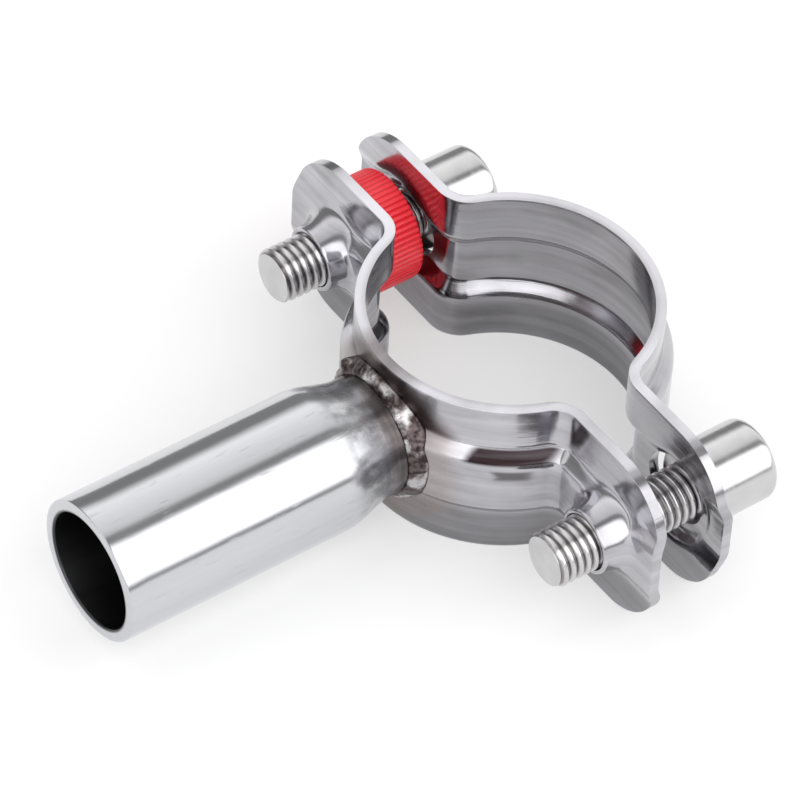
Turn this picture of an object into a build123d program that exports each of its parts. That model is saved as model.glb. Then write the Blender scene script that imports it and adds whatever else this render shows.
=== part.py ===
# Double pipe clip: two pressed strap halves drawn together on a pipe by two
# bolts, with a short tube welded to the front half.
#
# Frame, in millimetres: the origin is the axis of the clamped pipe at half
# the strap width. +Z is the pipe axis and points up, the ears lie along X,
# the bolts and the tube lie along Y, and the open end of the tube faces -Y.

from build123d import *
from math import atan2, degrees, radians, sqrt, tan
import os

# Clamped pipe and strap
pipe_radius = 19.0          # a pipe 38 mm outside
strap_width = 26.0
strap_sheet = 1.5
ear_offset = 3.5            # pipe axis to the inner face of an ear
ear_reach = 41.5            # pipe axis to the end of an ear
ear_corner = 9.5
ear_bend = 5.0              # inner face radius where the ear turns into the arc
opening = 1.4               # how far the rear half stands off the closed position

# Pressed rib along the middle of the strap
rib_depth = 1.6
rib_crest = 3.6             # half width of the flat crest, on the pipe side
rib_foot = 5.8              # half width where the slope meets the flat strap
rib_inside_bend = 0.6

# Bolts with a metric thread of 8 mm
bolt_spacing = 63.2
bolt_radius = 4.0
bolt_length = 24.0
bolt_bevel = 0.5
head_step = 1.9             # head radius over bolt radius
head_height = 11.0
head_rounding = 1.4
socket_flats = 6.0
socket_depth = 5.0
running_gap = 0.05          # bolt in a collar or in the ring

# Collars drawn out of the front ears, pads and slots of the rear ears
collar_wall = 1.45
collar_height = 3.1         # above the rib crest
collar_flare = 3.0          # outer curve between ear and collar
bore_flare = 1.4            # inner curve of the same draw
collar_rounding = 0.45
pad_margin = 0.5            # flat top of a pad beyond the bolt head
pad_slope = 45
slot_clearance = 0.6        # bolt to the round end of its slot
slot_play = 2.2             # straight part of the slot, towards the pipe

# Welded tube
tube_radius = 10.3
tube_wall = 1.85
tube_end = 67.2             # pipe axis to the open end
tube_bevel = 0.3
neck_step = 1.6             # tube radius over neck radius
neck_straight = 1.3         # straight neck beyond the rib crest
neck_taper = 8.1            # from there to the full diameter
weld_height = 1.6           # bead up the neck
weld_width = 1.6            # bead along the strap
weld_bulge = 0.35

# Ribbed ring on the left bolt
ring_wall = 4.25
ring_length = 7.4
ring_bevel = 0.7
ring_ribs = 60
ring_groove = 0.35

# Radii and half sizes that follow
bolt_x = bolt_spacing / 2
half_width = strap_width / 2
strap_radius = pipe_radius + strap_sheet
crest_radius = strap_radius + rib_depth
rib_outside_bend = rib_inside_bend + strap_sheet
bore_radius = bolt_radius + running_gap
head_radius = bolt_radius + head_step
pad_radius = head_radius + pad_margin
collar_radius = bore_radius + collar_wall
slot_width = 2 * (bolt_radius + slot_clearance)
tube_bore = tube_radius - tube_wall
neck_radius = tube_radius - neck_step
neck_bore = neck_radius - tube_wall
neck_end = crest_radius + neck_straight
neck_start = neck_end + neck_taper
ring_radius = bore_radius + ring_wall

# Depths along Y, counted from the pipe axis on either side
flange_level = ear_offset + strap_sheet
recess_level = ear_offset + rib_depth
crest_level = flange_level + rib_depth
lip_level = crest_level + collar_height
seat_level = crest_level + opening      # the bolt heads bear here
head_level = seat_level + head_height
weld_level = sqrt(crest_radius**2 - neck_radius**2)     # the neck meets the rib crest

# The bend circle touches the ear line and the pipe side of the arc
bend_y = ear_offset + ear_bend
bend_x = sqrt((pipe_radius + ear_bend) ** 2 - bend_y**2)
bend_angle = degrees(atan2(bend_y, bend_x))

# Both faces of the ribbed sheet stay one sheet thickness apart
slope_angle = atan2(rib_depth, rib_foot - rib_crest)
corner_shift = strap_sheet * tan(slope_angle / 2)
outer_crest = rib_crest + corner_shift
outer_foot = rib_foot + corner_shift
pad_foot = pad_radius + rib_depth / tan(radians(pad_slope))
pad_inside = pad_radius - strap_sheet * tan(radians(pad_slope / 2))
pad_inside_foot = pad_inside + rib_depth / tan(radians(pad_slope))

# Pads, collars and bolts share these axes, left and right
bolt_axes = {side: Axis((side * bolt_x, 0, 0), (0, 1, 0)) for side in (-1, 1)}
bolt_planes = {side: Plane(origin=(side * bolt_x, 0, 0)) for side in (-1, 1)}

# Strap path, the pipe side of the front half seen from above
with BuildLine() as strap_path:
    Line((-ear_reach, -ear_offset), (-bend_x, -ear_offset))
    CenterArc((-bend_x, -bend_y), ear_bend, 90, bend_angle - 90)
    CenterArc((0, 0), pipe_radius, 180 + bend_angle, 180 - 2 * bend_angle)
    CenterArc((bend_x, -bend_y), ear_bend, 180 - bend_angle, bend_angle - 90)
    Line((bend_x, -ear_offset), (ear_reach, -ear_offset))

# Section of the ribbed sheet at the end of the left ear, X is its depth
section_plane = Plane(origin=(-ear_reach, -ear_offset, 0), x_dir=(0, -1, 0), z_dir=(1, 0, 0))

with BuildSketch(section_plane) as strap_section:
    Polygon(
        (0, -half_width),
        (0, -rib_foot),
        (rib_depth, -rib_crest),
        (rib_depth, rib_crest),
        (0, rib_foot),
        (0, half_width),
        (strap_sheet, half_width),
        (strap_sheet, outer_foot),
        (strap_sheet + rib_depth, outer_crest),
        (strap_sheet + rib_depth, -outer_crest),
        (strap_sheet, -outer_foot),
        (strap_sheet, -half_width),
        align=None,
    )
    bends = strap_section.vertices().filter_by_position(Axis.Y, -outer_foot, outer_foot)
    inside_bends = bends - bends.group_by(Axis.X)[0] - bends.group_by(Axis.X)[-1]
    fillet(inside_bends, radius=rib_inside_bend)
    bends = strap_section.vertices().filter_by_position(Axis.Y, -outer_foot, outer_foot)
    outside_bends = bends.group_by(Axis.X)[0] + bends.group_by(Axis.X)[-1]
    fillet(outside_bends, radius=rib_outside_bend)

# Ribbed sheet of one half, with rounded ear ends
with BuildPart() as ribbed_strap:
    sweep(strap_section.sketch, path=strap_path.wire())
    with BuildSketch(Plane.XZ):
        RectangleRounded(2 * ear_reach, strap_width, ear_corner)
    extrude(amount=crest_radius, both=True, mode=Mode.INTERSECT)

# Front half: bell shaped collars drawn forward out of the ears carry the thread
with BuildPart() as front_half:
    add(ribbed_strap.part)
    for side in (-1, 1):
        with BuildSketch(bolt_planes[side]):
            with BuildLine():
                Polyline(
                    (0, -lip_level),
                    (0, -recess_level),
                    (pad_inside, -recess_level),
                    (collar_radius + collar_flare, -flange_level),
                )
                RadiusArc(
                    (collar_radius + collar_flare, -flange_level),
                    (collar_radius, -flange_level - collar_flare),
                    -collar_flare,
                )
                Line(
                    (collar_radius, -flange_level - collar_flare),
                    (collar_radius, -lip_level + collar_rounding),
                )
                RadiusArc(
                    (collar_radius, -lip_level + collar_rounding),
                    (collar_radius - collar_rounding, -lip_level),
                    collar_rounding,
                )
                Line((collar_radius - collar_rounding, -lip_level), (0, -lip_level))
            make_face()
        revolve(axis=bolt_axes[side])
        with BuildSketch(bolt_planes[side]):
            with BuildLine():
                Polyline(
                    (bore_radius, -recess_level - bore_flare),
                    (bore_radius, -lip_level),
                    (0, -lip_level),
                    (0, 0),
                    (bore_radius + bore_flare, 0),
                    (bore_radius + bore_flare, -recess_level),
                )
                RadiusArc(
                    (bore_radius + bore_flare, -recess_level),
                    (bore_radius, -recess_level - bore_flare),
                    -bore_flare,
                )
            make_face()
        revolve(axis=bolt_axes[side], mode=Mode.SUBTRACT)

# Round pads lift the sheet of the other half to rib level under the bolt heads
with BuildPart() as padded_strap:
    add(ribbed_strap.part)
    for side in (-1, 1):
        with BuildSketch(bolt_planes[side]):
            Polygon(
                (0, -ear_offset - strap_sheet / 2),
                (pad_foot, -ear_offset - strap_sheet / 2),
                (pad_foot, -flange_level),
                (pad_radius, -crest_level),
                (0, -crest_level),
                align=None,
            )
        revolve(axis=bolt_axes[side])
        with BuildSketch(bolt_planes[side]):
            Polygon(
                (0, 0),
                (pad_inside_foot, 0),
                (pad_inside_foot, -ear_offset),
                (pad_inside, -recess_level),
                (0, -recess_level),
                align=None,
            )
        revolve(axis=bolt_axes[side], mode=Mode.SUBTRACT)

    # The hollow side of the rib stays open behind the pads
    with BuildSketch(Plane.YZ.offset(bend_x), Plane.YZ.offset(-ear_reach)) as rib_hollow:
        Polygon(
            (0, -rib_foot),
            (-ear_offset, -rib_foot),
            (-recess_level, -rib_crest),
            (-recess_level, rib_crest),
            (-ear_offset, rib_foot),
            (0, rib_foot),
            align=None,
        )
        fillet(rib_hollow.vertices().group_by(Axis.X)[0], radius=rib_inside_bend)
    extrude(amount=ear_reach - bend_x, mode=Mode.SUBTRACT)

# Rear half: the padded sheet turned round, with a slot through each pad
with BuildPart() as rear_half:
    with Locations((0, opening, 0)):
        add(padded_strap.part.mirror(Plane.XZ))
    with BuildSketch(Plane.XZ):
        for side in (-1, 1):
            with Locations((side * (bolt_x - slot_play / 2), 0)):
                SlotOverall(slot_width + slot_play, slot_width)
    extrude(amount=-crest_radius, mode=Mode.SUBTRACT)

# Everything inside this outline belongs to the strap or to the pipe
with BuildPart() as strap_envelope:
    with BuildSketch(Plane.XZ) as envelope_outline:
        Polygon(
            (0, -half_width),
            (strap_radius, -half_width),
            (strap_radius, -outer_foot),
            (crest_radius, -outer_crest),
            (crest_radius, outer_crest),
            (strap_radius, outer_foot),
            (strap_radius, half_width),
            (0, half_width),
            align=None,
        )
        corners = envelope_outline.vertices().filter_by_position(Axis.Y, -outer_foot, outer_foot)
        fillet(corners.group_by(Axis.X)[0], radius=rib_inside_bend)
        fillet(envelope_outline.vertices().group_by(Axis.X)[-1], radius=rib_outside_bend)
    revolve(axis=Axis.Z)

# Tube: the full diameter necks down to the strap and is shaped to its rib
with BuildPart() as socket_tube:
    with BuildSketch():
        with BuildLine():
            Polyline(
                (tube_bore, -neck_start),
                (tube_bore, -tube_end + tube_bevel),
                (tube_bore + tube_bevel, -tube_end),
                (tube_radius - tube_bevel, -tube_end),
                (tube_radius, -tube_end + tube_bevel),
                (tube_radius, -neck_start),
            )
            Spline(
                (tube_radius, -neck_start),
                (neck_radius, -neck_end),
                tangents=((0, 1), (0, 1)),
            )
            Polyline(
                (neck_radius, -neck_end),
                (neck_radius, -pipe_radius + strap_sheet),
                (neck_bore, -pipe_radius + strap_sheet),
                (neck_bore, -neck_end),
            )
            Spline(
                (neck_bore, -neck_end),
                (tube_bore, -neck_start),
                tangents=((0, -1), (0, -1)),
            )
        make_face()
    revolve(axis=Axis.Y)
    add(strap_envelope.part, mode=Mode.SUBTRACT)

# Weld bead around the root of the neck
with BuildPart() as weld_bead:
    with BuildSketch():
        with BuildLine():
            Polyline(
                (neck_radius + weld_width, -weld_level),
                (neck_radius + weld_width, -weld_level + strap_sheet),
                (neck_bore, -weld_level + strap_sheet),
                (neck_bore, -weld_level - weld_height),
                (neck_radius, -weld_level - weld_height),
            )
            SagittaArc(
                (neck_radius, -weld_level - weld_height),
                (neck_radius + weld_width, -weld_level),
                -weld_bulge,
            )
        make_face()
    revolve(axis=Axis.Y)
    with BuildSketch(Plane.XZ):
        Circle(neck_radius)
    extrude(amount=crest_radius + weld_height, mode=Mode.SUBTRACT)
    add(strap_envelope.part, mode=Mode.SUBTRACT)

# Bolts: plain shank at the crest diameter, round head with a hexagon socket
with BuildPart() as left_bolt:
    with BuildSketch(bolt_planes[-1]):
        with BuildLine():
            Polyline(
                (0, head_level),
                (0, seat_level - bolt_length),
                (bolt_radius - bolt_bevel, seat_level - bolt_length),
                (bolt_radius, seat_level - bolt_length + bolt_bevel),
                (bolt_radius, seat_level),
                (head_radius, seat_level),
                (head_radius, head_level - head_rounding),
            )
            RadiusArc(
                (head_radius, head_level - head_rounding),
                (head_radius - head_rounding, head_level),
                -head_rounding,
            )
            Line((head_radius - head_rounding, head_level), (0, head_level))
        make_face()
    revolve(axis=bolt_axes[-1])
    with BuildSketch(Plane.XZ.offset(-head_level)):
        with Locations((-bolt_x, 0)):
            RegularPolygon(socket_flats / 2, 6, major_radius=False)
    extrude(amount=socket_depth, mode=Mode.SUBTRACT)

with BuildPart() as right_bolt:
    with Locations((bolt_spacing, 0, 0)):
        add(left_bolt.part)

# Ribbed ring: straight grooves all round, both rims bevelled
with BuildPart() as lock_ring:
    with BuildSketch(Plane.XZ.offset(ear_offset)):
        with Locations((-bolt_x, 0)):
            Circle(ring_radius)
            Circle(bore_radius, mode=Mode.SUBTRACT)
            with PolarLocations(ring_radius, ring_ribs):
                Rectangle(2 * ring_groove, 2 * ring_groove, rotation=45, mode=Mode.SUBTRACT)
    extrude(amount=-ring_length)
    with BuildSketch(bolt_planes[-1]):
        with Locations((0, -ear_offset)):
            Polygon(
                (0, 0),
                (ring_radius - ring_bevel, 0),
                (ring_radius, ring_bevel),
                (ring_radius, ring_length - ring_bevel),
                (ring_radius - ring_bevel, ring_length),
                (0, ring_length),
                align=None,
            )
    revolve(axis=bolt_axes[-1], mode=Mode.INTERSECT)

front_half.part.label = "front_half"
rear_half.part.label = "rear_half"
socket_tube.part.label = "socket_tube"
weld_bead.part.label = "weld_bead"
left_bolt.part.label = "left_bolt"
right_bolt.part.label = "right_bolt"
lock_ring.part.label = "lock_ring"

os.makedirs("parts", exist_ok=True)
export_step(front_half.part, "parts/front_half.step")
export_step(rear_half.part, "parts/rear_half.step")
export_step(socket_tube.part, "parts/socket_tube.step")
export_step(weld_bead.part, "parts/weld_bead.step")
export_step(left_bolt.part, "parts/left_bolt.step")
export_step(right_bolt.part, "parts/right_bolt.step")
export_step(lock_ring.part, "parts/lock_ring.step")
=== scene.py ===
# %% [markdown]
# # A double pipe clip
# The clip holds a pipe between two ribbed halves of pressed stainless sheet. Two bolts draw
# the halves together, a red ring sits on one of them, and a short tube is welded to the
# front half. The frame already holds every piece at its real size, so this lesson adds what
# makes it look real: rounded cut edges, true threads, a rippled weld and worked metal
# finishes. Everything is in metres, and the pipe's axis is Z.

# %% Load the frame
import bmesh
import bpy
from math import atan2, cos, hypot, pi, radians, sin, sqrt, tan
from mathutils import Matrix, Vector, noise


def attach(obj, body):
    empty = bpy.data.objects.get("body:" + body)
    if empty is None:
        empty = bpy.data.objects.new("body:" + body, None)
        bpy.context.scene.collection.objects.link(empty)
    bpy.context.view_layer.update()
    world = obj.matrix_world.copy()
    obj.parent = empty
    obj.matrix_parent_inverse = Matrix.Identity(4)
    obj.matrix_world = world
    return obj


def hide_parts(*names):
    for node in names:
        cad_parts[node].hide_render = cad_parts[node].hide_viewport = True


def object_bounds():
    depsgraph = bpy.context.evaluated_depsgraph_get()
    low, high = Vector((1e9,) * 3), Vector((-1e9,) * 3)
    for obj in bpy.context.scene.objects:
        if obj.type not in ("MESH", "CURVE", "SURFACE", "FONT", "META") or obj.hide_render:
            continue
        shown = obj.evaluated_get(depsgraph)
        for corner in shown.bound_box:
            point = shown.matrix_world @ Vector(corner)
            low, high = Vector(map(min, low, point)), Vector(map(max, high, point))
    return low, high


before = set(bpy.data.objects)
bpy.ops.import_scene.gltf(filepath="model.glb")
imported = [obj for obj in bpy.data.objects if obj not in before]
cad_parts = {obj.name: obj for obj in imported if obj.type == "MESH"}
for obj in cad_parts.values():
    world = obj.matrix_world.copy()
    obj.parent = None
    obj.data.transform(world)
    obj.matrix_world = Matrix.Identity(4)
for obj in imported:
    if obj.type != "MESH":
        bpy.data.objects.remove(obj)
cad_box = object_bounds()
print("nodes:", sorted(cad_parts))

# %% [markdown]
# ## The camera
# The photo looks down on the clip from the right of the tube with a long lens, so lines that
# are parallel on the clip stay nearly parallel in the picture. A few plain values place the
# camera: where it stands, which way it faces, how far it is rolled, and its focal length in
# pixels of an 800 pixel picture.

# %% Camera
image_side = 800
camera_spot = Vector((0.4391, -0.3611, 0.5849))
camera_azimuth = radians(51.93)
camera_height = radians(46.17)
camera_roll = radians(3.48)
focal_pixels = 5996.6

back = Vector((
    sin(camera_azimuth) * cos(camera_height),
    -cos(camera_azimuth) * cos(camera_height),
    sin(camera_height),
))
right = Vector((cos(camera_azimuth), sin(camera_azimuth), 0))
turn = Matrix((right, back.cross(right), back)).transposed()
turn = turn @ Matrix.Rotation(camera_roll, 3, "Z")

camera = bpy.data.objects.new("camera", bpy.data.cameras.new("camera"))
camera.data.sensor_width = 36       # mm
camera.data.lens = focal_pixels / image_side * camera.data.sensor_width
camera.data.clip_start = 0.05
camera.data.clip_end = 50
camera.matrix_world = Matrix.Translation(camera_spot) @ turn.to_4x4()
bpy.context.scene.collection.objects.link(camera)
bpy.context.scene.camera = camera
print("lens", round(camera.data.lens, 1), "mm")

# %% [markdown]
# ## Writing shader maths as Python
# A procedural material is mostly sums: a mask times a noise, plus a little more. Wired by
# hand, each sign is a Math node. The class below wraps a socket, so that Python's own signs
# add those nodes, and every other node comes from one method.

# %% Sockets and finishes
class Wire:
    """A value on its way through a node tree."""

    def __init__(self, graph, socket):
        self.graph = graph
        self.socket = socket

    def of(self, name):
        """Another output of the same node."""
        return Wire(self.graph, self.socket.node.outputs[name])

    def maths(self, operation, *values):
        settings = {"operation": operation}
        return self.graph.add("ShaderNodeMath", settings, dict(enumerate(values)))

    def __add__(self, other):
        return self.maths("ADD", self, other)

    def __radd__(self, other):
        return self.maths("ADD", other, self)

    def __sub__(self, other):
        return self.maths("SUBTRACT", self, other)

    def __rsub__(self, other):
        return self.maths("SUBTRACT", other, self)

    def __mul__(self, other):
        return self.maths("MULTIPLY", self, other)

    def __rmul__(self, other):
        return self.maths("MULTIPLY", other, self)

    def __pow__(self, other):
        return self.maths("POWER", self, other)

    def __abs__(self):
        return self.maths("ABSOLUTE", self)

    def rise(self, low, high):
        """0 below low, 1 above high and smooth between them."""
        settings = {"interpolation_type": "SMOOTHSTEP"}
        return self.graph.add("ShaderNodeMapRange", settings, {0: self, 1: low, 2: high})


class Graph:
    """The node tree of one material, or of the world."""

    def __init__(self, owner):
        owner.use_nodes = True
        self.tree = owner.node_tree
        self.tree.nodes.clear()

    def add(self, kind, settings=None, values=None):
        node = self.tree.nodes.new(kind)
        for name, value in (settings or {}).items():
            setattr(node, name, value)
        for name, value in (values or {}).items():
            if isinstance(value, Wire):
                self.tree.links.new(value.socket, node.inputs[name])
            else:
                node.inputs[name].default_value = value
        first = [s for s in node.outputs if s.enabled]
        return Wire(self, first[0]) if first else None

    def place(self):
        """Each point's own place on the object, which stays when the object moves."""
        return self.add("ShaderNodeTexCoord").of("Object")

    def parts(self, vector):
        split = self.add("ShaderNodeSeparateXYZ", None, {0: vector})
        return split.of("X"), split.of("Y"), split.of("Z")

    def noise(self, place, scale, detail=3.0, stretch=(1, 1, 1)):
        """Soft noise from 0 to 1, whose grain is scale times per metre, stretched by axis."""
        moved = self.add("ShaderNodeMapping", None, {"Vector": place, "Scale": stretch})
        values = {"Vector": moved, "Scale": scale, "Detail": detail}
        return self.add("ShaderNodeTexNoise", None, values)

    def tint(self, value, *shares):
        """A colour whose red, green and blue are shares of one value."""
        channels = {i: value * share for i, share in enumerate(shares)}
        return self.add("ShaderNodeCombineColor", None, channels)

    def blend(self, share, first, second):
        """A colour that goes from the first to the second."""
        settings = {"data_type": "RGBA"}
        mix = self.add("ShaderNodeMix", settings, {0: share, 6: first, 7: second})
        return mix.of("Result")

    def bump(self, height, distance):
        """Normals of a surface whose height of 1 stands this far out, in metres."""
        values = {"Strength": 1.0, "Distance": distance, "Height": height}
        return self.add("ShaderNodeBump", None, values)

    def surface(self, **values):
        named = {name.replace("_", " "): value for name, value in values.items()}
        shader = self.add("ShaderNodeBsdfPrincipled", None, named)
        self.add("ShaderNodeOutputMaterial", None, {"Surface": shader})


def finish(name):
    """A new material and its graph."""
    material = bpy.data.materials.new(name)
    return material, Graph(material)


def grey(value):
    return (value, value, value, 1)


# How far the axis of each bolt stands from the middle, in metres
bolt_axis = 0.0316


# %% [markdown]
# ## Studio
# Polished metal has no look of its own: it shows what stands around it. The photo's tube
# shows a broad white panel to the right, a paler one overhead to the left with a thin gap
# between them, a dark wall low on the left and the pale table below. The world is painted
# with those panels, as bands of the angle around the Y axis, because the tube lies along Y.

# %% World of panels
world = bpy.data.worlds.new("studio")
bpy.context.scene.world = world
studio = Graph(world)
sight = studio.add("ShaderNodeTexCoord").of("Generated")
east, _, up = studio.parts(sight)
around = up.maths("ARCTAN2", up, east) * (180 / pi)

room = 0.30
right_strength = 1.75
left_strength = 0.62        # at the top of the left panel, and 0.009 more for each degree
right_panel = around.rise(4, 12) - around.rise(66, 76)
left_panel = around.rise(82, 92) - around.rise(136, 156)
left_light = left_strength + (around - 90) * 0.009
light = room + right_strength * right_panel + left_light * left_panel
sky = studio.add("ShaderNodeBackground", None, {"Color": grey(1), "Strength": light})
studio.add("ShaderNodeOutputWorld", None, {"Surface": sky})
print("room", room, "right panel", right_strength, "left panel", left_strength)

# %% [markdown]
# ## Floor
# The object rests on a plain pale floor. It lies just under the clip's lowest edge, and it
# is far larger than the view, so that it also fills the lower half of each reflection. Seen
# by the camera or in a reflection, it shows part of its own white through a Light Path, so
# that it looks like clean paper and still keeps the soft shadow of the clip.

# %% Floor
floor_side = 12.0
floor_level = cad_box[0].z - 0.0001
floor_white = 0.96
own_white = 0.45
floor_material, paint = finish("pale_floor")
paper = paint.add("ShaderNodeBsdfDiffuse", None, {"Color": grey(floor_white)})
white = paint.add("ShaderNodeEmission", None, {"Color": grey(1), "Strength": 1.0})
path = paint.add("ShaderNodeLightPath")
seen = path.of("Is Camera Ray") + path.of("Is Glossy Ray") + path.of("Is Transmission Ray")
floor_mix = paint.add("ShaderNodeMixShader", None, {0: own_white * seen, 1: paper, 2: white})
paint.add("ShaderNodeOutputMaterial", None, {"Surface": floor_mix})
floor_mesh = bmesh.new()
bmesh.ops.create_grid(floor_mesh, x_segments=1, y_segments=1, size=floor_side / 2)
bmesh.ops.translate(floor_mesh, verts=floor_mesh.verts, vec=(0, 0, floor_level))
floor_data = bpy.data.meshes.new("floor")
floor_mesh.to_mesh(floor_data)
floor_mesh.free()
floor_data.materials.append(floor_material)
floor_piece = bpy.data.objects.new("floor", floor_data)
bpy.context.scene.collection.objects.link(floor_piece)
print("floor at", round(floor_level, 4), "m")

# %% [markdown]
# ## Pressed steel
# The halves are pressed from brushed sheet. The brush leaves fine lines along the strip, so
# the noise is stretched: it changes fast across the strip, in Z, and slowly along it. Wider
# noise adds cloudy handling marks. The pipe side is a little rougher and darker, and the
# hollow of the rib darker still; this darkening is painted shade. The lower flange, which
# faces the table, is darker as painted shade, and the rim of the cut edge is rougher and
# lighter as a painted highlight. Round the weld the heat has left a brown tint, darkest on
# the upper flange, which also serves as a painted reflection of the tube. Towards the right
# ear there is a dark brown band on the rib's upper slope with a smaller spot below it. Each
# of these is a mask: `rise` climbs from 0 to 1 between two distances in metres.

# %% Pressed steel
# Brown heat tints near the weld, which also stand in for a painted reflection of the tube
weld_brown_and_reflection = (0.075, 0.052, 0.054, 1)
straw_and_reflection = (0.30, 0.22, 0.18, 1)
# Dark brown of the band on the rib's upper slope
slope_band_brown = (0.024, 0.015, 0.017, 1)
spot_brown = (0.060, 0.045, 0.047, 1)


def band(value, start, end, soft):
    """1 between start and end, and soft at both sides."""
    return value.rise(start, start + soft) * (1 - value.rise(end - soft, end))


def pressed_steel(name, centre_y):
    """centre_y is where the middle of this half's arc lies."""
    material, paint = finish(name)
    place = paint.place()
    x, y, z = paint.parts(place)
    lines = paint.noise(place, 800, 6, (0.04, 0.04, 1))
    scratches = paint.noise(place, 2600, 2, (0.03, 0.03, 1)).rise(0.60, 0.72)
    clouds = paint.noise(place, 95, 5)
    waves = paint.noise(place, 230, 2, (0.5, 0.5, 1))
    marks = paint.noise(place, 190, 5, (0.30, 0.30, 1)).rise(0.50, 0.70)

    # Parts of the strap
    from_pipe = (x * x + (y - centre_y) * (y - centre_y)) ** 0.5
    # The pipe side: a little rougher, and darker as painted shade
    shaded_pipe_side = 1 - from_pipe.rise(0.0191, 0.0199)
    # The hollow of the rib on the pipe side, darker as painted shade
    rib_hollow_shade = (1 - from_pipe.rise(0.0209, 0.0214)) * (1 - abs(z).rise(0.0030, 0.0050))
    # The rim of the cut edge: rougher, and lighter as a painted highlight
    cut_edge_highlight = abs(z).rise(0.01275, 0.0129)
    # The lower flange, which faces the table, darker as painted shade
    lower_flange_shade = 1 - z.rise(-0.0075, -0.0055)
    in_front = 1 - y.rise(-0.011, -0.008)

    # Heat tint of the weld, darkest on the upper flange, and also a painted reflection of the
    # tube
    from_tube = (x * x + z * z) ** 0.5 + (clouds - 0.5) * 0.004
    heat_and_reflection = (1 - from_tube.rise(0.0118, 0.0150)) * in_front
    burn_and_reflection = heat_and_reflection * z.rise(0.0052, 0.0068)

    # Dark brown band on the slope and spot on the crest
    past_start = (x + (clouds - 0.5) * 0.003).rise(0.0138, 0.0150)
    before_ear = 1 - x.rise(0.0200, 0.0216)
    on_arc = 1 - y.rise(-0.006, -0.003)
    slope_band = band(z, 0.0038, 0.0064, 0.0006) * on_arc * past_start * before_ear
    on_crest = z.rise(0.0010, 0.0020) * (1 - z.rise(0.0028, 0.0034)) * in_front
    ragged_x = x + (marks - 0.5) * 0.0012
    spot = on_crest * ragged_x.rise(0.0168, 0.0176) * (1 - x.rise(0.0196, 0.0204))

    value = 0.50 + 0.22 * (clouds - 0.5) + 0.34 * (lines - 0.5) - 0.10 * marks
    # Painted shade on the pipe side and, deeper, in the rib's hollow
    value = value * (1 - 0.16 * shaded_pipe_side) * (1 - 0.25 * rib_hollow_shade)
    # Painted shade on the lower flange and a painted highlight on the cut edge
    value = value * (1 - 0.42 * lower_flange_shade) * (1 + 0.40 * cut_edge_highlight)
    # Heat tint near the weld and its darker burn on the upper flange, also painting a
    # reflection of the tube
    colour = paint.blend(0.35 * heat_and_reflection, paint.tint(value, 0.98, 0.967, 1.02), straw_and_reflection)
    colour = paint.blend(burn_and_reflection * (0.80 + 0.7 * (clouds - 0.4)), colour, weld_brown_and_reflection)
    colour = paint.blend(0.75 * spot, colour, spot_brown)
    colour = paint.blend(slope_band * (0.95 + 0.5 * (lines - 0.4)), colour, slope_band_brown)
    rough = 0.10 + 0.10 * lines + 0.08 * marks
    rough = rough + 0.03 * shaded_pipe_side + 0.18 * cut_edge_highlight + 0.12 * heat_and_reflection
    height = lines + 0.5 * scratches + 9.0 * waves
    paint.surface(
        Base_Color=colour, Metallic=1.0, Roughness=rough,
        Normal=paint.bump(height, 0.00001),
    )
    return material


front_steel = pressed_steel("front_steel", 0.0)
rear_steel = pressed_steel("rear_steel", 0.0014)

# %% [markdown]
# ## Polished tube
# The tube is the brightest piece. A buffing wheel ran along it, so its faint streaks run
# along Y, and slow waves in the surface bend the edges of its reflections. On the neck,
# which was swaged and then heated by the weld, the polish is broken by blotches and fine
# rings, and it turns dark brown at the root. The underside of the neck is darker as painted
# shade. The bore was never polished and is rougher, and it is darkened as painted shade.

# %% Polished tube
root_brown = (0.070, 0.054, 0.052, 1)
tube_steel, paint = finish("polished_tube")
place = paint.place()
x, y, z = paint.parts(place)
streaks = paint.noise(place, 900, 4, (1, 0.03, 1))
waves = paint.noise(place, 150, 3, (1, 0.3, 1))
clouds = paint.noise(place, 120, 4, (1, 0.4, 1))
specks = paint.noise(place, 2400, 2, (1, 0.12, 1)).rise(0.62, 0.75)
blotches = paint.noise(place, 520, 4, (1, 0.6, 1)).rise(0.38, 0.68)
rings = paint.noise(place, 900, 3, (0.08, 1, 0.08))

on_neck = (y + (clouds - 0.5) * 0.006).rise(-0.0318, -0.0280)
at_root = (y + (clouds - 0.5) * 0.004).rise(-0.0265, -0.0225)
# The underside of the neck, darker as painted shade
shaded_neck_underside = on_neck * (1 - z.rise(-0.0060, -0.0010))
# The bore: rougher, and darkened as painted shade
shaded_bore = 1 - ((x * x + z * z) ** 0.5).rise(0.0086, 0.0090)
shaded_bore = shaded_bore * (1 - y.rise(-0.034, -0.032))

value = 0.60 + 0.05 * (clouds - 0.5) + 0.07 * (streaks - 0.5) - 0.05 * specks
value = value * (1 - on_neck * (0.34 * blotches + 0.30 * rings))
# Painted shade in the bore and under the neck
value = value * (1 - 0.90 * shaded_bore) * (1 - 0.30 * shaded_neck_underside)
bright = paint.tint(value, 0.985, 0.99, 1.03)
colour = paint.blend(at_root * (0.55 + 0.8 * (rings - 0.2)), bright, root_brown)
rough = 0.11 + 0.06 * streaks + 0.10 * specks + on_neck * (0.05 + 0.12 * blotches)
height = 0.4 * streaks + 0.3 * specks + 1.4 * on_neck * blotches + 5.0 * waves
paint.surface(
    Base_Color=colour, Metallic=1.0, Roughness=rough + 0.2 * shaded_bore,
    Normal=paint.bump(height, 0.000008),
)

# %% [markdown]
# ## Weld metal
# The bead is rougher and darker than the sheet. Heat has left brown and black patches, and
# scattered paler patches of cleaner metal keep more shine.

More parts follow.
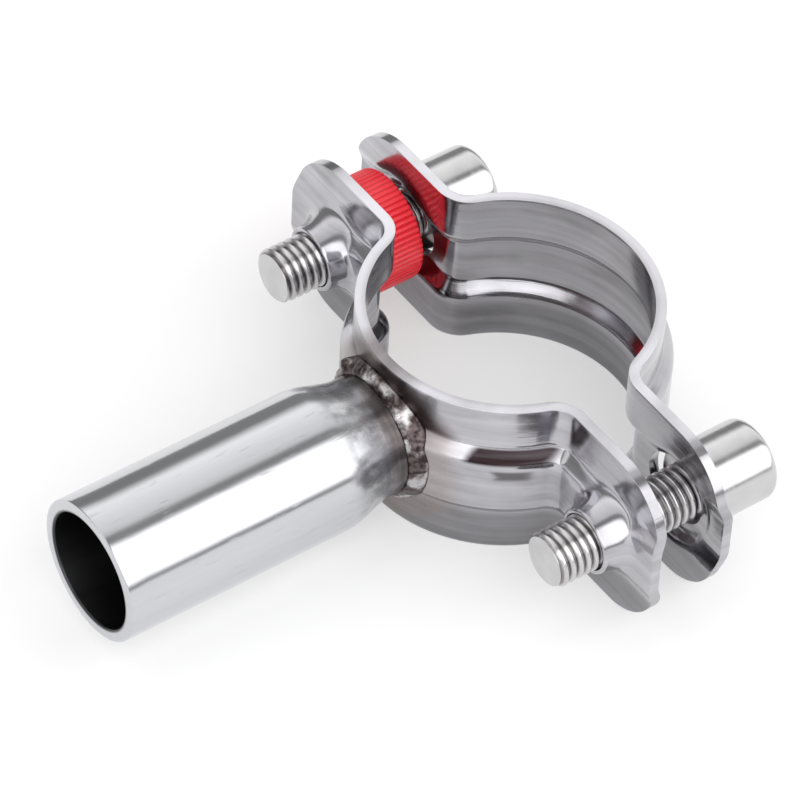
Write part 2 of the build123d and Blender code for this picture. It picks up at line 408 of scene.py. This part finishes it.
# %% Weld metal
soot_black = (0.040, 0.030, 0.032, 1)
soot_brown = (0.14, 0.11, 0.11, 1)
clean_weld = (0.55, 0.53, 0.54, 1)
weld_steel, paint = finish("weld_metal")
place = paint.place()
patches = paint.noise(place, 330, 5).rise(0.50, 0.66)
soot = paint.noise(place, 1500, 4)
pits = paint.noise(place, 3800, 2)
scorched = paint.blend(soot.rise(0.35, 0.65), soot_black, soot_brown)
paint.surface(
    Base_Color=paint.blend(patches, scorched, clean_weld), Metallic=1.0,
    Roughness=0.30 - 0.14 * patches + 0.15 * soot,
    Normal=paint.bump(soot + 0.6 * pits, 0.00005),
)

# %% [markdown]
# ## Bolt steel
# The bolts are rolled and barrelled, with fine turning marks round their axis. The roots of
# the thread are painted a darker brown as shade.

# %% Bolt steel
# Brown of the painted shade in the roots of the thread
root_shade_brown = (0.115, 0.095, 0.09, 1)
bolt_steel, paint = finish("bolt_steel")
place = paint.place()
x, y, z = paint.parts(place)
turning = paint.noise(place, 2200, 3, (0.15, 1, 0.15))
clouds = paint.noise(place, 300, 4)

beside = abs(x) - bolt_axis
from_axis = (beside * beside + z * z) ** 0.5
on_head = y.rise(0.0078, 0.0082)
behind_tip = y.rise(-0.01597, -0.0159)
# The roots of the thread, painted darker as shade
thread_root_shade = (1 - from_axis.rise(0.00350, 0.00385)) * (1 - on_head) * behind_tip

value = 0.60 + 0.16 * (clouds - 0.5) + 0.14 * (turning - 0.5) * (1 - 0.8 * on_head)
# Painted shade: the roots of the thread turn darker brown
colour = paint.blend(0.70 * thread_root_shade, paint.tint(value, 1, 0.99, 1), root_shade_brown)
paint.surface(
    Base_Color=colour, Metallic=1.0,
    Roughness=0.15 + 0.12 * turning + 0.08 * clouds - 0.06 * on_head,
    Normal=paint.bump(turning * (1 - 0.85 * on_head) + 3.0 * clouds, 0.000008),
)

# %% [markdown]
# ## Red plastic
# The ring is moulded nylon: a strong red with a soft sheen, darker in the valleys between
# its ribs as painted shade, with a faint cloudiness and rubbed, paler rib tops. The flat
# ends and the bore take the same darker red.

# %% Red plastic
# Darker red, painted shade in the valleys between the ribs
valley_shade_red = (0.66, 0.008, 0.018, 1)
rib_red = (0.90, 0.016, 0.034, 1)
rubbed_red = (0.92, 0.12, 0.13, 1)
red_plastic, paint = finish("red_plastic")
place = paint.place()
x, _, z = paint.parts(place)
clouds = paint.noise(place, 380, 4)
rubs = paint.noise(place, 2600, 3, (1, 0.3, 1)).rise(0.55, 0.75)
beside = x + bolt_axis
on_rib = ((beside * beside + z * z) ** 0.5).rise(0.00800, 0.00828)
# Below the rib tops the red is darker: painted shade in the valleys; the flat ends and bore
# take the same red
body = paint.blend(on_rib, valley_shade_red, rib_red)
paint.surface(
    Base_Color=paint.blend(0.20 * on_rib * rubs, body, rubbed_red), Coat_Weight=0.25,
    Roughness=0.30 + 0.16 * clouds + 0.10 * rubs,
    Normal=paint.bump(clouds + 0.3 * rubs, 0.00003),
)

# %% [markdown]
# ## Small helpers
# The sizes below are millimetres, as on a drawing. `place_piece` scales a finished mesh to
# metres, puts it on the body it moves with and says which CAD node it stands for. `spun`
# turns a profile round the Y axis, which is how tubes and bolts are made on a lathe. `grow`
# extrudes a loop of edges, the basic step for walls, holes and sockets.

# %% Helpers
mm = 0.001


def place_piece(mesh, name, body, material, sharp=40):
    """Edges that turn by more than sharp degrees stay sharp."""
    bmesh.ops.recalc_face_normals(mesh, faces=mesh.faces)
    bmesh.ops.scale(mesh, verts=mesh.verts, vec=(mm, mm, mm))
    open_edges = sum(1 for edge in mesh.edges if not edge.is_manifold)
    data = bpy.data.meshes.new(name)
    mesh.to_mesh(data)
    mesh.free()
    data.shade_smooth()
    data.set_sharp_from_angle(angle=radians(sharp))
    data.materials.append(material)
    piece = bpy.data.objects.new(name + "_piece", data)
    bpy.context.scene.collection.objects.link(piece)
    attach(piece, body)
    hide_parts(name)
    print(name, len(data.polygons), "faces,", open_edges, "open edges")
    return piece


def spun(mesh, profile, steps, closed=False):
    """Turns a profile of (radius, y) points round the Y axis."""
    verts = [mesh.verts.new((radius, y, 0)) for radius, y in profile]
    ends = verts[1:] + verts[:1] if closed else verts[1:]
    edges = [mesh.edges.new(pair) for pair in zip(verts, ends)]
    bmesh.ops.spin(
        mesh, geom=verts + edges, cent=(0, 0, 0), axis=(0, 1, 0),
        angle=2 * pi, steps=steps, use_merge=True,
    )
    bmesh.ops.remove_doubles(mesh, verts=mesh.verts, dist=0.00001)


def arc(radius_centre, y_centre, radius, start, end, steps):
    """Points of a circle arc in the profile plane, angles in degrees."""
    angles = [radians(start + (end - start) * i / steps) for i in range(steps + 1)]
    return [(radius_centre + radius * cos(a), y_centre + radius * sin(a)) for a in angles]


def grow(mesh, edges):
    """Extrudes edges in place. Gives the new edges and the new points, yet to be moved."""
    parts = bmesh.ops.extrude_edge_only(mesh, edges=edges)["geom"]
    new_edges = [part for part in parts if isinstance(part, bmesh.types.BMEdge)]
    return new_edges, [part for part in parts if isinstance(part, bmesh.types.BMVert)]


def smooth(share):
    """0 below 0, 1 above 1 and an even curve between."""
    share = min(max(share, 0), 1)
    return share * share * (3 - 2 * share)


# %% [markdown]
# ## The form of the pressed sheet
# One half is a strip of sheet, pressed over a die. Three things shape it: its path seen from
# above, which is an arc, two bends and two straight ears, the rib that is pressed along its
# middle, and what is drawn round each bolt. `sheet_spot` follows the path, and the height
# functions say how far a face of the sheet stands off it at each point.

# %% Strap path and rib
pipe_radius = 19.0
sheet = 1.5
half_width = 13.0
ear_offset = 3.5
ear_end = 41.5
ear_corner = 9.5
ear_bend = 5.0
opening = 1.4               # how far the rear half stands off the closed position
rib_depth = 1.6
rib_crest = 3.6             # half width of the flat crest, on the pipe side
rib_foot = 5.8
tight_bend = 0.6            # inside of a bend in the sheet, and one sheet further out
wide_bend = tight_bend + sheet
bolt_x = bolt_axis / mm

bend_y = ear_offset + ear_bend
bend_x = sqrt((pipe_radius + ear_bend) ** 2 - bend_y**2)
bend_turn = atan2(bend_x, bend_y)
arc_length = pipe_radius * bend_turn
bend_length = ear_bend * bend_turn


def sheet_spot(run, z, height):
    """A point at this run along the path from its middle, and this height off the pipe side."""
    side = -1 if run < 0 else 1
    run = abs(run)
    if run <= arc_length:
        angle = run / pipe_radius
        x = (pipe_radius + height) * sin(angle)
        y = -(pipe_radius + height) * cos(angle)
    else:
        angle = pi / 2 + bend_turn - (run - arc_length) / ear_bend
        x = bend_x + (ear_bend - height) * cos(angle)
        y = -bend_y + (ear_bend - height) * sin(angle)
    return Vector((side * x, y, z))


def step_down(place, top, foot, top_bend, foot_bend):
    """rib_depth before top, 0 after foot, with a slope and two rounded bends between."""
    slope = atan2(rib_depth, foot - top)
    top_reach = top_bend * tan(slope / 2)
    foot_reach = foot_bend * tan(slope / 2)
    if place <= top - top_reach:
        return rib_depth
    if place < top + top_reach * cos(slope):
        along = place - top + top_reach
        return rib_depth - top_bend + sqrt(top_bend**2 - along**2)
    if place < foot - foot_reach * cos(slope):
        return rib_depth * (foot - place) / (foot - top)
    if place < foot + foot_reach:
        along = foot + foot_reach - place
        return foot_bend - sqrt(foot_bend**2 - along**2)
    return 0.0


# Both faces of the sheet stay one sheet apart when the outer slope lies this much further out
shift = sheet * tan(atan2(rib_depth, rib_foot - rib_crest) / 2)


def rib(z, outer):
    if outer:
        return step_down(abs(z), rib_crest + shift, rib_foot + shift, wide_bend, tight_bend)
    return step_down(abs(z), rib_crest, rib_foot, tight_bend, wide_bend)


def scoop(distance, start, reach, height):
    """A quarter of an ellipse that begins at start and turns up to vertical."""
    share = min(max((start - distance) / reach, 0), 1)
    return height * (1 - sqrt(1 - share**2))


soft_length = 6.0           # the rib's bends grow soft over this length past the bend
soft_crest = 2.9            # half width of the soft crest, and of each soft slope
soft_slope = 3.9
front_fade = 0.45           # share of the rib's depth that is lost at the tip
rear_fade = 0.35


def ear_rib(x, z, outer, fade):
    """On an ear the bends of the rib grow softer, and its depth fades towards the tip."""
    soft = smooth((x - bend_x) / soft_length)
    wide = rib_depth * (1 - smooth((abs(z) - soft_crest) / soft_slope))
    depth = (1 - soft) * rib(z, outer) + soft * wide
    return depth * (1 - fade * smooth((x - bolt_x + 3) / (ear_end - bolt_x + 1)))


# Where each side of the bell starts, how far it reaches inwards and how high it climbs
outer_bell = (7.6, 2.8, 4.2)
inner_bell = (6.6, 2.55, 2.55)


def front_height(x, z, outer):
    """Rib and bell shaped collar flow into each other."""
    bell = scoop(hypot(x - bolt_x, z), *(outer_bell if outer else inner_bell))
    return (ear_rib(x, z, outer, front_fade) ** 3 + bell**3) ** (1 / 3)


# Top, foot and two bends of the pad's slope, on either side of the sheet
outer_pad = (6.4, 8.0, 1.6, 0.8)
inner_pad = (5.8, 7.4, 0.8, 1.6)


def rear_height(x, z, outer):
    """A flat round pad lifts the sheet to rib height under the bolt head."""
    pad = step_down(hypot(x - bolt_x, z), *(outer_pad if outer else inner_pad))
    under_rib = rib_depth - ear_rib(x, z, outer, rear_fade)
    return rib_depth - under_rib * (rib_depth - pad) / rib_depth


# %% [markdown]
# ## The grid of the sheet
# Each face of the sheet starts as a flat grid, with more rows where the rib bends. On an ear
# the grid is stretched between the end of the bend and the rounded outline, a form known as
# a Coons patch, so that its edge loops follow the cut edge. That keeps the rim even when it
# is rounded later.

# %% Grid layout
slope_out = 7.6             # the rows are close together between these two heights
slope_in = 2.8
rows = [half_width - (half_width - slope_out) * i / 8 for i in range(8)]
rows += [slope_out - (slope_out - slope_in) * i / 18 for i in range(18)]
rows += [slope_in - slope_in * i / 5 for i in range(5)]
rows = [-z for z in rows] + [0.0] + rows[::-1]
middle_row = len(rows) // 2
runs = [arc_length * i / 36 for i in range(37)]
runs += [arc_length + bend_length * i / 16 for i in range(1, 17)]
bend_columns = len(runs) - 1
ear_columns = 34
middle_column = bend_columns + ear_columns

# Cells in these columns past the bend, and within this many rows of the middle one, make
# way for the rings round the bolt
hole_columns = (3, 29)
hole_rows = 23

corner_x = ear_end - ear_corner
corner_z = half_width - ear_corner
corner_run = ear_corner * pi / 4


def ear_side(share):
    """The long cut edge of the right ear, up to the middle of its rounded corner."""
    run = share * (corner_x - bend_x + corner_run)
    if run <= corner_x - bend_x:
        return Vector((bend_x + run, half_width))
    angle = pi / 2 - (run - corner_x + bend_x) / ear_corner
    return Vector((corner_x + ear_corner * cos(angle), corner_z + ear_corner * sin(angle)))


def ear_tip(share):
    """The short cut edge of the right ear, from its middle to the middle of the corner."""
    run = abs(share) * (corner_z + corner_run)
    side = -1 if share < 0 else 1
    if run <= corner_z:
        return Vector((ear_end, side * run))
    angle = (run - corner_z) / ear_corner
    x = corner_x + ear_corner * cos(angle)
    return Vector((x, side * (corner_z + ear_corner * sin(angle))))


def ear_spot(along, across):
    """x and z on the right ear. along is 0 at the bend and 1 at the tip, across -1 to 1."""
    side = ear_side(along)
    between = (1 + across) / 2
    start = Vector((bend_x, half_width * across))
    other_side = Vector((side.x, -side.y))
    tip = ear_side(1)
    corners = (1 - along) * start + along * Vector((tip.x, tip.y * across))
    return (
        (1 - along) * start + along * ear_tip(across)
        + (1 - between) * other_side + between * side
        - corners
    )


# %% [markdown]
# ## Building one face of the sheet
# The cells round each bolt are deleted, and the edge loop that is left is extruded inwards,
# ring by ring, until it reaches the hole. This is the usual way to put a round hole in a
# square grid without a boolean. Each new point remembers the edge point that it came from,
# in a layer, so that its ray from the bolt's axis is known.

# %% One face
def sheet_face(mesh, height_at, outer, hole):
    """hole lists the rings that fill the gap in the grid round each bolt."""
    base = sheet if outer else 0.0
    found = bmesh.ops.create_grid(
        mesh, x_segments=2 * middle_column, y_segments=len(rows) - 1, size=0.5,
    )
    origin = mesh.verts.layers.float_vector["origin"]
    cells = {}
    for vert in found["verts"]:
        column = round((vert.co.x + 0.5) * 2 * middle_column) - middle_column
        row = round((vert.co.y + 0.5) * (len(rows) - 1))
        side = -1 if column < 0 else 1
        column = abs(column)
        cells[vert] = (column - bend_columns, abs(row - middle_row))
        if column <= bend_columns:
            z = rows[row]
            vert.co = sheet_spot(side * runs[column], z, base + rib(z, outer))
            vert[origin] = (0, 0, 0)
        else:
            x, z = ear_spot((column - bend_columns) / ear_columns, rows[row] / half_width)
            height = base + height_at(x, z, outer)
            vert.co = (side * x, -ear_offset - height, z)
            vert[origin] = (side, x, z)
    first, last = hole_columns

    def near_bolt(vert):
        column, row = cells[vert]
        return first <= column <= last and row <= hole_rows

    faces = dict.fromkeys(face for vert in found["verts"] for face in vert.link_faces)
    holes = [face for face in faces if all(near_bolt(vert) for vert in face.verts)]
    bmesh.ops.delete(mesh, geom=holes, context="FACES")
    edges = dict.fromkeys(
        edge for vert in found["verts"] if vert.is_valid for edge in vert.link_edges
        if edge.is_boundary and all(near_bolt(end) for end in edge.verts)
    )
    for side in (-1, 1):
        edge_loop = [edge for edge in edges if edge.verts[0][origin].x == side]
        for ring in hole:
            edge_loop, ring_verts = grow(mesh, edge_loop)
            for vert in ring_verts:
                x, z, height = ring(vert[origin].y, vert[origin].z)
                vert.co = (side * x, -ear_offset - height, z)


# %% [markdown]
# ## Rings round a bolt
# The front half's rings climb the bell of the collar, round its lip and end at the bore. The
# rear half's end at a slot, which is longer towards the pipe and leaves the half some play.
# Each ring is a small function: from the edge point it gives x, z and the height.

# %% Collar rings
collar_radius = 4.8
bore_radius = 4.05
lip_height = 6.2            # above the pipe side of the ear, as all heights here
lip_round = 0.4
throat_height = 3.6         # where the inner rings end and the straight bore begins


def spoke(x, z, centre):
    """How far a point is from the middle of a hole, and in which direction."""
    distance = hypot(x - centre, z)
    return distance, (x - centre) / distance, z / distance


def blend_ring(share, height_at, outer, hole_radius, centre, eased):
    """A ring part of the way from the edge of the gap to the hole."""
    base = sheet if outer else 0.0

    def ring(x, z):
        distance, along, across = spoke(x, z, centre)
        inner = hole_radius(along, across)
        keep = 1 - sin(share * pi / 2) if eased else 1 - share
        distance = inner + (distance - inner) * keep
        x, z = centre + distance * along, distance * across
        return x, z, base + height_at(x, z, outer)

    return ring


def fixed_ring(radius, height):
    """A ring of the collar's wall or lip, which no longer follows the sheet."""

    def ring(x, z):
        distance, along, across = spoke(x, z, bolt_x)
        return bolt_x + radius * along, radius * across, height

    return ring


def collar(along, across):
    return collar_radius


def bore(along, across):
    return bore_radius


outer_rings = [
    blend_ring(i / 16, front_height, True, collar, bolt_x, True) for i in range(1, 17)
]
for angle in (radians(90 * i / 5) for i in range(6)):
    outer_rings.append(fixed_ring(
        collar_radius - lip_round * (1 - cos(angle)),
        lip_height - lip_round * (1 - sin(angle)),
    ))
outer_rings.append(fixed_ring(bore_radius + 0.2, lip_height))
outer_rings.append(fixed_ring(bore_radius + 0.02, lip_height - 0.2))
inner_rings = [
    blend_ring(i / 12, front_height, False, bore, bolt_x, True) for i in range(1, 13)
]
inner_rings.append(fixed_ring(bore_radius, throat_height))
print("collar rings", len(outer_rings), "outside,", len(inner_rings), "inside")

# %% Slot rings
slot_radius = 4.6
slot_play = 2.2
slot_centre = bolt_x - slot_play / 2


def slot(along, across):
    """Distance from the slot's middle to its edge in this direction."""
    if abs(across) > 0.001:
        flat = slot_radius / abs(across)
        if flat * abs(along) <= slot_play / 2:
            return flat
    half = slot_play / 2 * abs(along)
    return half + sqrt(half**2 - (slot_play / 2) ** 2 + slot_radius**2)


slot_rings = {
    outer: [
        blend_ring(i / 8, rear_height, outer, slot, slot_centre, False) for i in range(1, 9)
    ]
    for outer in (True, False)
}
print("slot", 2 * slot_radius, "mm wide and", slot_play, "mm longer")

# %% [markdown]
# ## Closing the sheet
# The two faces are joined along the outline and in each hole with bridge_loops. Then every
# sharp edge is rounded a little, as tumbling after the press does, because a real edge
# always catches a thin line of light.

# %% Both halves
edge_rounding = 0.16


def boundary_loops(mesh):
    """The open edges of the mesh, as separate loops."""
    open_edges = dict.fromkeys(edge for edge in mesh.edges if edge.is_boundary)
    loops = []
    while open_edges:
        loop = [next(iter(open_edges))]
        del open_edges[loop[0]]
        for edge in loop:
            near = [e for v in edge.verts for e in v.link_edges if e in open_edges]
            for other in dict.fromkeys(near):
                del open_edges[other]
                loop.append(other)
        loops.append(loop)
    return loops


def pressed_sheet(height_at, outer_hole, inner_hole):
    """One half, as if it were the front one."""
    mesh = bmesh.new()
    mesh.verts.layers.float_vector.new("origin")
    sheet_face(mesh, height_at, True, outer_hole)
    sheet_face(mesh, height_at, False, inner_hole)

    def middle(loop):
        return round(sum(v.co.x for e in loop for v in e.verts) / len(loop) / 2)

    # From left to right: two loops of the left hole, two of the outline, two of the right hole
    loops = sorted(boundary_loops(mesh), key=middle)
    for first, second in zip(loops[0::2], loops[1::2]):
        bmesh.ops.bridge_loops(mesh, edges=first + second)
    bmesh.ops.recalc_face_normals(mesh, faces=mesh.faces)
    rims = [e for e in mesh.edges if e.is_manifold and e.calc_face_angle(0) > radians(50)]
    bmesh.ops.bevel(
        mesh, geom=rims, offset=edge_rounding, offset_type="OFFSET", segments=3,
        profile=0.5, affect="EDGES", material=-1, clamp_overlap=True,
    )
    print("loops", len(loops), "rounded edges", len(rims))
    return mesh


def weigh_normals(piece):
    """Large faces keep their own direction, so that only the small ones look rounded."""
    weigh = piece.modifiers.new("weigh normals", "WEIGHTED_NORMAL")
    weigh.keep_sharp = True


front = pressed_sheet(front_height, outer_rings, inner_rings)
weigh_normals(place_piece(front, "front_half", "front", front_steel, 60))

rear = pressed_sheet(rear_height, slot_rings[True], slot_rings[False])
bmesh.ops.scale(rear, verts=rear.verts, vec=(1, -1, 1))
bmesh.ops.translate(rear, verts=rear.verts, vec=(0, opening, 0))
weigh_normals(place_piece(rear, "rear_half", "rear", rear_steel, 60))

# %% [markdown]
# ## The tube
# The tube is cut from stock, necked down at one end by swaging and polished. Its profile is
# turned round the Y axis. The root is then shaped to the strap: each of its points moves
# along the tube until it meets the sheet.

# %% Tube
tube_radius = 10.3
tube_wall = 1.85
neck_radius = 8.7
tube_end = -67.2
neck_start = -31.5
neck_end = -23.4
root_level = -21.0
mouth_bevel = 0.3


def strap_surface(x, z):
    """Y of the strap's outer face in front of the pipe."""
    return -sqrt((pipe_radius + sheet + rib(z, True)) ** 2 - x**2)


def neck_profile(radius, neck, steps=14):
    """From the root to the full radius."""
    taper = [i / steps for i in range(steps + 1)]
    span = neck_start - neck_end
    return [(neck, root_level), (neck, neck_end + 1.0)] + [
        (neck + (radius - neck) * smooth(share), neck_end + span * share) for share in taper
    ]


tube_bore = tube_radius - tube_wall
bevel_level = tube_end + mouth_bevel
outside = neck_profile(tube_radius, neck_radius)
outside += [
    (tube_radius, neck_start + (bevel_level - neck_start) * i / 12) for i in range(1, 12)
]
mouth = arc(tube_radius - mouth_bevel, bevel_level, mouth_bevel, 0, -90, 4)
mouth += [(tube_radius - tube_wall / 2, tube_end)]
mouth += arc(tube_bore + mouth_bevel, bevel_level, mouth_bevel, -90, -180, 4)
inside = neck_profile(tube_bore, neck_radius - tube_wall)[::-1]
tube = bmesh.new()
spun(tube, outside + mouth + inside, 160)
for vert in tube.verts:
    if vert.co.y > root_level - 0.01:
        vert.co.y = strap_surface(vert.co.x, vert.co.z) + 0.02
bmesh.ops.bridge_loops(tube, edges=[e for e in tube.edges if e.is_boundary])
place_piece(tube, "socket_tube", "front", tube_steel, 50)

# %% [markdown]
# ## The weld
# A weld bead is a row of small pools, each frozen over the last, so its surface is a chain of
# curved ripples. The bead is a closed ring whose foot follows the strap, pushed in and out by
# a ripple wave and by noise, with one larger drop where the welder stopped.

# %% Weld
ripples = 58
bead_steps = 348
bead_points = 11
foot_radius = 10.3          # the bead's edge on the strap
top_level = -21.95          # and its edge on the neck
top_radius = neck_radius - 0.06
stop_angle = radians(139)   # where the welder stopped


def unevenness(across, up, fineness, layer):
    """Noise that runs on round the bead."""
    return noise.noise(Vector((across * fineness, up * fineness, layer)))


# A flat ring for a start: share 0 to 1 from neck to strap, and two rows that close its back
bead = bmesh.new()
front_row = [(1 + i / (bead_points - 1), 0.0) for i in range(bead_points)]
back_row = [(1.8, -1.0), (1.2, -1.0)]
spun(bead, front_row + back_row, bead_steps, closed=True)
for vert in bead.verts:
    share = hypot(vert.co.x, vert.co.z) - 1
    across, up = vert.co.x / (1 + share), vert.co.z / (1 + share)
    angle = atan2(up, across)
    sway = 0.13 * unevenness(across, up, 2.3, 4.1)
    foot = foot_radius + sway + 0.06 * unevenness(across, up, 7, 1.3)
    foot_y = strap_surface(foot * across, foot * up)
    top_y = top_level - 0.8 * sway - 0.07 * unevenness(across, up, 8, 7.7)
    radius = top_radius + (foot - top_radius) * share
    y = top_y + (foot_y - top_y) * share
    if vert.co.y < -0.5:
        vert.co = (radius * across, y + 1.0 - 0.6 * share, radius * up)
        continue
    hump = 4 * share * (1 - share)
    wave = (angle * ripples / (2 * pi) + 3.6 * (share - 0.5) ** 2) % 1.0
    pool = sqrt(1 - (2 * wave - 1) ** 2) - 0.6
    grain = unevenness(across, up, 26, share * 3)
    from_stop = hypot(angle - stop_angle, (share - 0.55) * 0.2)
    rise = hump * (0.36 + 0.08 * pool + 0.06 * grain)
    rise += 1.1 * hump * (1 - smooth(from_stop / 0.17))
    radius += 0.75 * rise
    vert.co = (radius * across, y - 0.66 * rise, radius * up)
place_piece(bead, "weld_bead", "front", weld_steel, 180)

# %% [markdown]
# ## The bolts
# A real thread is one long helical groove. The profile of a single turn is spun many times
# with a step along the axis, so that each turn begins where the last one ends. The ends are
# cut square with bisect_plane, and the tip is turned to a short cone. The thread has its real
# pitch of 1.25 mm.

# %% Thread
pitch = 1.25
root_radius = 3.42
crest_radius = 4.0
tip_radius = 3.62
cone_slope = 0.8            # how fast the tip's cone widens
turn_steps = 48
turns = 22
tip_level = -16.0
seat_level = 8.0            # the head bears on the rear pad here

flank = ((0.06, root_radius), (0.42, crest_radius - 0.05), (0.50, crest_radius))
groove = [(root_radius, 0)] + [(radius, y) for y, radius in flank]
groove += [(radius, pitch - y) for y, radius in flank[::-1]] + [(root_radius, pitch)]
bolt = bmesh.new()
verts = [bolt.verts.new((radius, tip_level - 1.5 * pitch + y, 0)) for radius, y in groove]
edges = [bolt.edges.new(pair) for pair in zip(verts, verts[1:])]
bmesh.ops.spin(
    bolt, geom=verts + edges, cent=(0, 0, 0), axis=(0, 1, 0),
    dvec=(0, pitch / turn_steps, 0), angle=2 * pi * turns, steps=turn_steps * turns,
)
bmesh.ops.remove_doubles(bolt, verts=bolt.verts, dist=0.001)
for vert in bolt.verts:
    radius = hypot(vert.co.x, vert.co.z)
    cone = tip_radius + max(vert.co.y - tip_level, 0) * cone_slope
    if radius > cone:
        vert.co.x *= cone / radius
        vert.co.z *= cone / radius
for level, outwards in ((tip_level, -1), (seat_level + 0.3, 1)):
    bmesh.ops.bisect_plane(
        bolt, geom=bolt.verts[:] + bolt.edges[:] + bolt.faces[:], dist=0.0001,
        plane_co=(0, level, 0), plane_no=(0, outwards, 0), clear_outer=True,
    )
bmesh.ops.holes_fill(bolt, edges=[e for e in bolt.edges if e.is_boundary], sides=0)
print("thread", len(bolt.faces), "faces")

# %% [markdown]
# The head is turned with a rounded rim. Its socket starts as the round mouth of the head,
# which is extruded onto a hexagon by moving each point along its own ray, then pushed down.

# %% Head and socket
head_radius = 5.9
head_height = 11.0
head_round = 1.4
socket_flats = 6.0
socket_depth = 5.0
mouth_radius = 3.62         # of the round mouth, just wider than the hexagon's corners
head_top = seat_level + head_height
side_height = head_height - head_round
head = bmesh.new()
spun(head, (
    [(0.0, seat_level), (head_radius - 0.2, seat_level), (head_radius, seat_level + 0.2)]
    + [(head_radius, seat_level + side_height * i / 4) for i in range(1, 4)]
    + arc(head_radius - head_round, head_top - head_round, head_round, 0, 90, 7)
    + [(3.9, head_top), (mouth_radius, head_top)]
), 48)
mouth = [e for e in head.edges if e.is_boundary]


def hexagon(angle):
    return socket_flats / 2 / cos((angle % (pi / 3)) - pi / 6)


# A short bevel, the walls, and the drilled cone at the bottom, which closes to a point
for depth, closing in ((0.25, 1), (socket_depth, 1), (socket_depth + 0.8, 0)):
    mouth, mouth_verts = grow(head, mouth)
    for vert in mouth_verts:
        angle = atan2(vert.co.z, vert.co.x)
        radius = hexagon(angle) * closing
        vert.co = (radius * cos(angle), head_top - depth, radius * sin(angle))
bmesh.ops.remove_doubles(head, verts=head.verts, dist=0.001)
head_data = bpy.data.meshes.new("head")
head.to_mesh(head_data)
head.free()
bolt.from_mesh(head_data)
bpy.data.meshes.remove(head_data)

# The right bolt is the same, stopped at another angle
other_angle = 2.1
other_bolt = bolt.copy()
bmesh.ops.rotate(
    other_bolt, verts=other_bolt.verts, cent=(0, 0, 0),
    matrix=Matrix.Rotation(other_angle, 3, "Y"),
)
bmesh.ops.translate(bolt, verts=bolt.verts, vec=(-bolt_x, 0, 0))
bmesh.ops.translate(other_bolt, verts=other_bolt.verts, vec=(bolt_x, 0, 0))
weigh_normals(place_piece(bolt, "left_bolt", "left_screw", bolt_steel))
weigh_normals(place_piece(other_bolt, "right_bolt", "right_screw", bolt_steel))

# %% [markdown]
# ## The ribbed ring
# The ring is moulded. A circle with eight points to each rib is extruded row by row, from the
# bore out over the rim, along the ribs and back, and the last row is bridged to the first.

# %% Ring
ring_radius = 8.3
ring_face = 7.2             # the flat ends reach this far out
ring_ribs = 60
rib_points = 8
ring_length = 7.4
ring_start = -ear_offset
ring_end = ring_start + ring_length
bore_bevel = 0.35
rim_round = 0.5
rib_length = ring_length - 2 * rim_round
valley = {0: -0.24, 1: -0.16, 7: -0.16, 2: -0.05, 6: -0.05}

# Rows of radius, y and 1 where the ribs show
rim = [(1 - cos(radians(a)), 1 - sin(radians(a))) for a in (90, 70, 50, 30, 12, 0)]
ring_rows = [(bore_radius + bore_bevel, ring_start, 0), (ring_face, ring_start, 0)]
ring_rows += [
    (ring_radius - rim_round * inset, ring_start + rim_round * rise, 1) for inset, rise in rim
]
ring_rows += [
    (ring_radius, ring_start + rim_round + rib_length * i / 5, 1) for i in range(1, 5)
]
ring_rows += [
    (ring_radius - rim_round * inset, ring_end - rim_round * rise, 1)
    for inset, rise in rim[::-1]
]
ring_rows += [(ring_face, ring_end, 0), (bore_radius + bore_bevel, ring_end, 0)]
ring_rows += [(bore_radius, ring_end - bore_bevel, 0)]

ring = bmesh.new()
bmesh.ops.create_circle(
    ring, segments=ring_ribs * rib_points, radius=bore_radius,
    matrix=Matrix.Rotation(pi / 2, 4, "X"),
)
for vert in ring.verts:
    vert.co.y = ring_start + bore_bevel
first_loop = loop = ring.edges[:]
for radius, y, ribbed in ring_rows:
    loop, loop_verts = grow(ring, loop)
    for vert in loop_verts:
        angle = atan2(vert.co.z, vert.co.x)
        point = round(angle / (2 * pi) * ring_ribs * rib_points) % rib_points
        reach = radius + ribbed * valley.get(point, 0)
        vert.co = (reach * cos(angle), y, reach * sin(angle))
bmesh.ops.bridge_loops(ring, edges=loop + first_loop)
bmesh.ops.translate(ring, verts=ring.verts, vec=(-bolt_x, 0, 0))
weigh_normals(place_piece(ring, "lock_ring", "ring", red_plastic, 60))

# %% [markdown]
# ## Finish
# The view transform is Standard, so that a colour renders as it is written above.

bpy.context.scene.view_settings.view_transform = "Standard"
